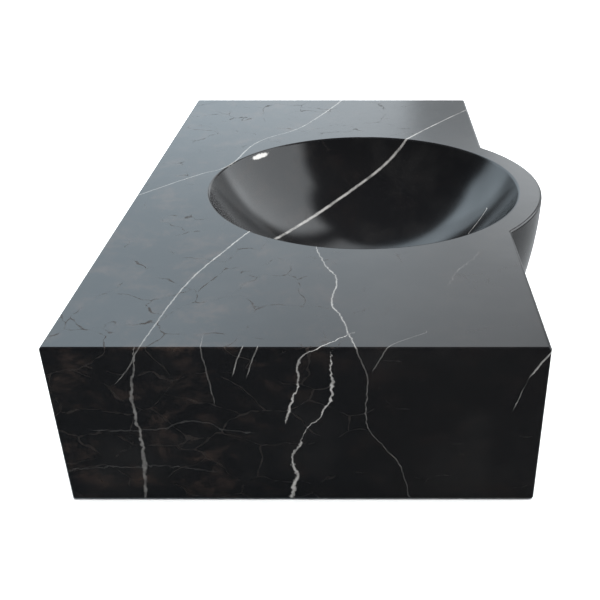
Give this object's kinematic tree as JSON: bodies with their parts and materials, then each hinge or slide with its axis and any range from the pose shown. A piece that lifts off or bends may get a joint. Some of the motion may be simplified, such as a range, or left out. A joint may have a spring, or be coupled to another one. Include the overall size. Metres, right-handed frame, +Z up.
{
  "type": "washbasin",
  "caption": "Wall-hung washbasin carved from black veined marble: low block, round bowl bulging past the front edge, press-press waste, hidden brackets.",
  "frame": {"origin": "centre of the basin's bounding box, on the level of its base", "axes": "+X runs along the wall, +Y from the user towards the wall, +Z up"},
  "size_m": [0.7, 0.44, 0.15],
  "materials": {
    "marble": "polished",
    "chrome": "polished",
    "brass": "satin",
    "steel": "satin",
    "rubber": "matte",
    "white_plastic": "satin",
    "grey_plastic": "satin",
    "black_plastic": "matte",
    "bracket_paint": "satin"
  },
  "bodies": {
    "basin": {"basin_body": "marble", "waste_body": "chrome", "flange_seal": "rubber", "cone_washer": "rubber", "slip_washer": "white_plastic", "back_nut": "brass", "cartridge_spring": "steel", "cartridge_body": "white_plastic", "cartridge_cap": "white_plastic", "cartridge_nut": "brass", "left_bracket": "bracket_paint", "right_bracket": "bracket_paint", "bracket_pads": "rubber", "stone_inserts": "brass", "retaining_bolts": "steel", "retaining_washers": "steel", "arm_end_caps": "black_plastic"},
    "plug": {"plug_cap": "chrome", "plug_seal": "rubber", "plug_stem": "steel"},
    "rotor": {"latch_rotor": "grey_plastic"}
  },
  "joints": [
    {"name": "plug_slide", "type": "slide", "parent": "basin", "child": "plug", "axis": [0, 0, 1], "range_m": [0, 0.009], "deforming": ["cartridge_spring"]},
    {"name": "rotor_turn", "type": "hinge", "parent": "plug", "child": "rotor", "pos_m": [0, -0.025, 0.03], "axis": [0, 0, 1], "range_deg": [-1, 46]}
  ],
  "couplings": [
    {"joint": "rotor_turn", "follows": "plug_slide", "rad_per_m": 87.266}
  ]
}
